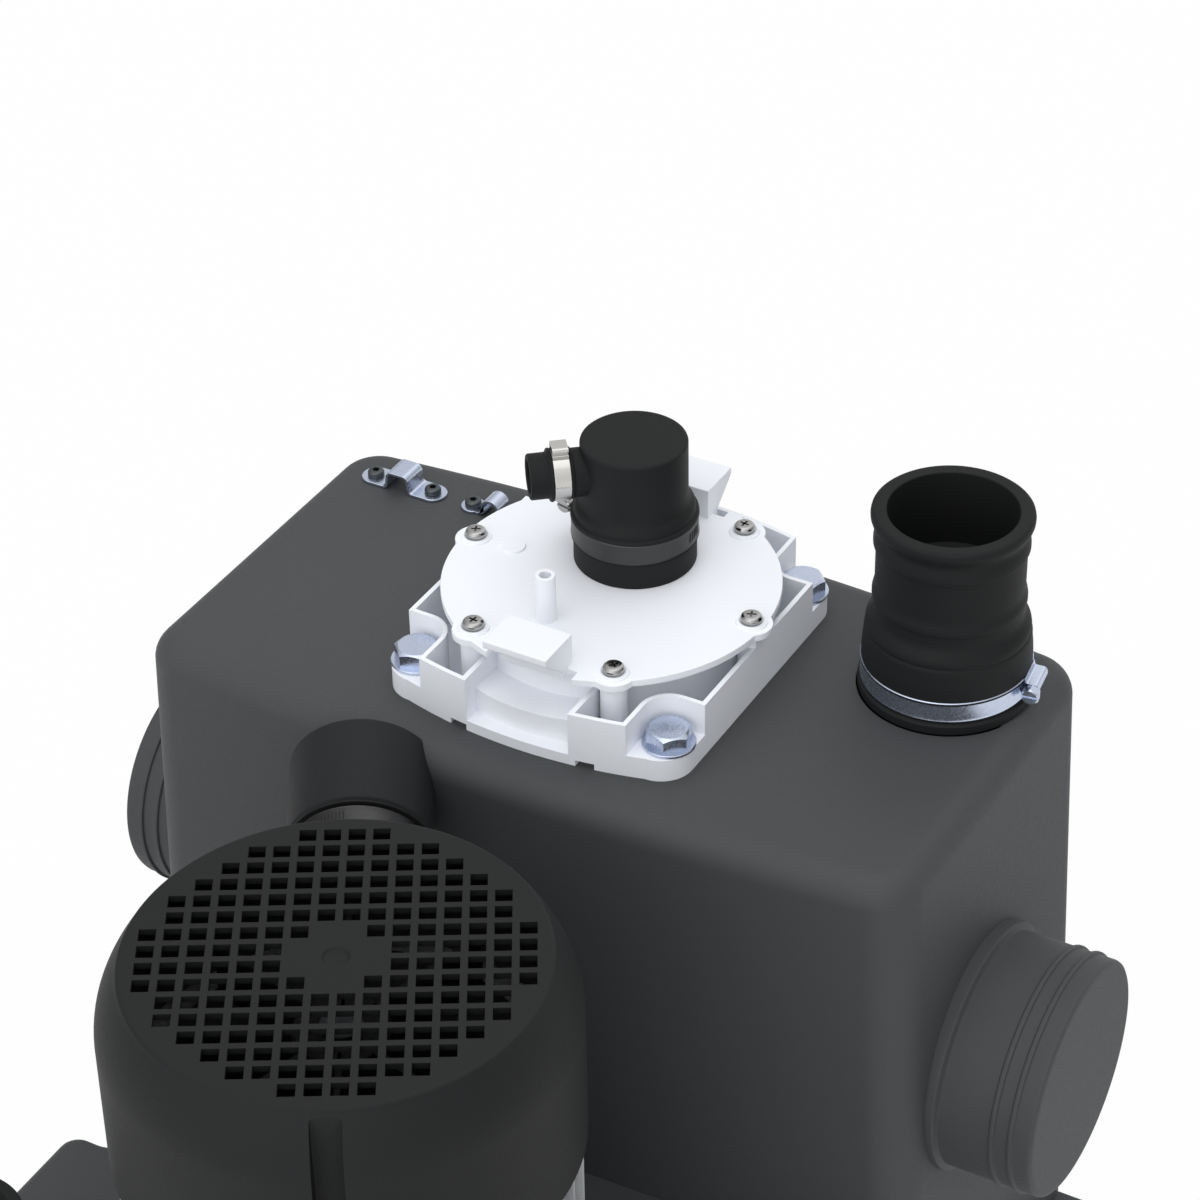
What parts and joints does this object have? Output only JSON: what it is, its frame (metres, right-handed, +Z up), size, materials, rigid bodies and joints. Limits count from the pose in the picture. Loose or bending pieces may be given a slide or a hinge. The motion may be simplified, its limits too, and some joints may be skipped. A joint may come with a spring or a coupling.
{
  "type": "macerator toilet pump",
  "caption": "Waste collecting tank with side inlets, an upright motor-driven macerator pump on its deck, a top vent sleeve and a level sensor under a screwed lid.",
  "frame": {"origin": "middle of the footprint on the floor", "axes": "+Z up, -Y towards the front where the pump stands, +X towards the right-hand inlet"},
  "size_m": [0.4756, 0.495, 0.4193],
  "materials": {
    "tank_plastic": "matt rotational moulding",
    "rubber": "matt",
    "white_plastic": "satin injection moulding",
    "zinc_steel": "blue zinc plated",
    "steel": "bright",
    "dark_band": "dark brushed",
    "black_plastic": "matt",
    "aluminium": "cast",
    "iron": "painted",
    "copper": "enamelled wire and laminations",
    "float_plastic": "satin",
    "pipe_plastic": "satin"
  },
  "bodies": {
    "station": {"cable_gland": "black_plastic", "cap_clamp": "dark_band", "cap_clamp_screw": "steel", "casing_bolts": "steel", "clip_screw_1": "dark_band", "clip_screw_2": "dark_band", "clip_screw_3": "dark_band", "cover_frame": "white_plastic", "cowl_screws": "steel", "cutter_ring": "steel", "discharge_clamp": "zinc_steel", "discharge_sleeve": "rubber", "fan_cowl": "black_plastic", "float_bracket": "white_plastic", "frame_bolt_1": "zinc_steel", "frame_bolt_2": "zinc_steel", "frame_bolt_3": "zinc_steel", "frame_bolt_4": "zinc_steel", "frame_washer_1": "zinc_steel", "frame_washer_2": "zinc_steel", "frame_washer_3": "zinc_steel", "frame_washer_4": "zinc_steel", "lid_disc": "white_plastic", "lid_screw_1": "steel", "lid_screw_2": "steel", "lid_screw_3": "steel", "lid_screw_4": "steel", "lid_screw_5": "steel", "lid_screw_6": "steel", "lid_seal": "rubber", "lower_bearing": "steel", "lower_shield": "aluminium", "motor_housing": "aluminium", "nozzle_clamp": "steel", "p_clip": "zinc_steel", "pump_casing": "iron", "riser_clamp": "steel", "riser_sleeve": "rubber", "rubber_cap": "rubber", "saddle_clip": "zinc_steel", "shaft_seal": "rubber", "stator_core": "copper", "tank_body": "tank_plastic", "terminal_box": "black_plastic", "terminal_cover": "black_plastic", "upper_bearing": "steel", "upper_shield": "aluminium", "valve_body": "iron", "valve_cover": "iron", "vent_clamp": "zinc_steel", "vent_clamp_screw": "zinc_steel", "vent_riser": "pipe_plastic", "vent_sleeve": "rubber"},
    "rotor": {"fan": "pipe_plastic", "rotor_shaft": "steel", "rotor_core": "steel", "impeller": "iron", "cutter_rotor": "steel"},
    "check_flap": {"valve_flap": "steel"},
    "float": {"float_arm": "float_plastic"}
  },
  "joints": [
    {"name": "rotor_spin", "type": "hinge", "parent": "station", "child": "rotor", "pos_m": [0.0201, -0.1234, 0.2], "axis": [0, 0, 1], "continuous": true},
    {"name": "flap_swing", "type": "hinge", "parent": "station", "child": "check_flap", "pos_m": [-0.0879, -0.1814, 0.149], "axis": [0, 1, 0], "range_deg": [0, 55]},
    {"name": "float_swing", "type": "hinge", "parent": "station", "child": "float", "pos_m": [-0.0075, 0.1065, 0.284], "axis": [1, 0, 0], "range_deg": [0, 28]}
  ]
}
